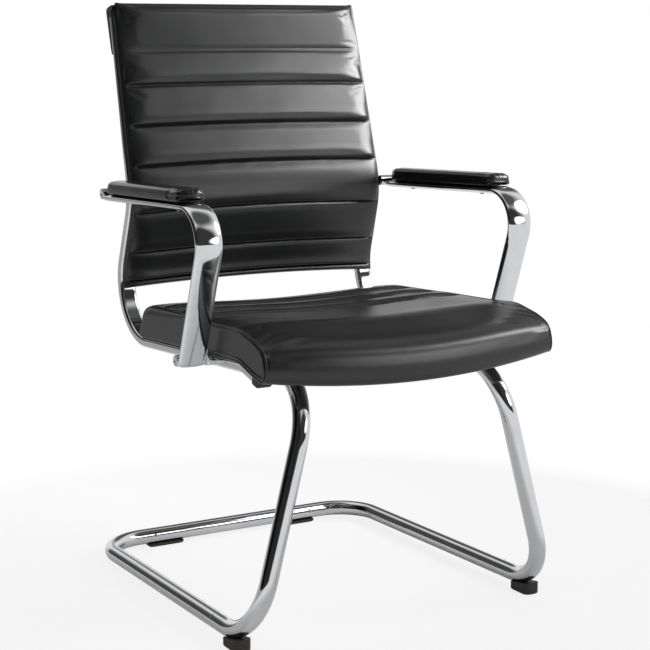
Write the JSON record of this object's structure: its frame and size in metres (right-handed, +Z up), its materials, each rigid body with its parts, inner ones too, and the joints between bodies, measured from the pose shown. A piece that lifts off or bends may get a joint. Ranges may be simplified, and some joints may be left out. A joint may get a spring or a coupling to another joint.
{
  "type": "guest chair",
  "caption": "Cantilever guest chair: bent tube base, side rails, channelled leather seat and back, padded loop arms.",
  "frame": {"origin": "on the floor, under the middle of the chair's bounding box", "axes": "the chair faces -Y, +Z is up, +X is on the sitter's left side"},
  "size_m": [0.6154, 0.656, 0.9691],
  "materials": {
    "chrome": "bright chromed steel tube",
    "leather": "black coated leather with a soft sheen",
    "black_plastic": "moulded black plastic",
    "steel": "zinc-plated steel",
    "plywood": "raw beech plywood",
    "dust_cloth": "black non-woven cloth",
    "foot_rubber": "dark brown-black rubber"
  },
  "bodies": {
    "root": {"side_rail_left": "chrome", "side_rail_right": "chrome", "base_tube": "chrome", "arm_tube_left": "chrome", "arm_tube_right": "chrome", "arm_rear_plug_left": "chrome", "arm_rear_plug_right": "chrome", "arm_foot_plug_left": "chrome", "arm_foot_plug_right": "chrome", "arm_rear_stub_left": "chrome", "arm_rear_stub_right": "chrome", "arm_foot_stub_left": "chrome", "arm_foot_stub_right": "chrome", "arm_foot_gusset_left": "chrome", "arm_foot_gusset_right": "chrome", "seat_cushion": "leather", "back_cushion": "leather", "back_top_pocket": "leather", "back_rear_cover": "leather", "arm_pad_left": "leather", "arm_pad_right": "leather", "arm_pad_plate_left": "black_plastic", "arm_pad_plate_right": "black_plastic", "rail_front_cap_left": "black_plastic", "rail_front_cap_right": "black_plastic", "rail_top_plug_left": "black_plastic", "rail_top_plug_right": "black_plastic", "base_end_plug_left": "black_plastic", "base_end_plug_right": "black_plastic", "seat_board": "plywood", "back_board": "plywood", "seat_dust_cover": "dust_cloth", "seat_crossbar_front": "steel", "seat_crossbar_rear": "steel", "back_crossbar_upper": "steel", "back_crossbar_lower": "steel", "base_bolt_front_left": "steel", "base_bolt_front_right": "steel", "base_bolt_rear_left": "steel", "base_bolt_rear_right": "steel", "seat_screw_left_front": "steel", "seat_screw_left_rear": "steel", "seat_screw_right_front": "steel", "seat_screw_right_rear": "steel", "arm_pad_screw_left_front": "steel", "arm_pad_screw_left_rear": "steel", "arm_pad_screw_right_front": "steel", "arm_pad_screw_right_rear": "steel", "front_glide_rivet_left": "steel", "front_glide_rivet_right": "steel", "rear_pad_rivet_left": "steel", "rear_pad_rivet_right": "steel", "front_glide_left": "foot_rubber", "front_glide_right": "foot_rubber", "rear_pad_left": "foot_rubber", "rear_pad_right": "foot_rubber"}
  },
  "joints": []
}
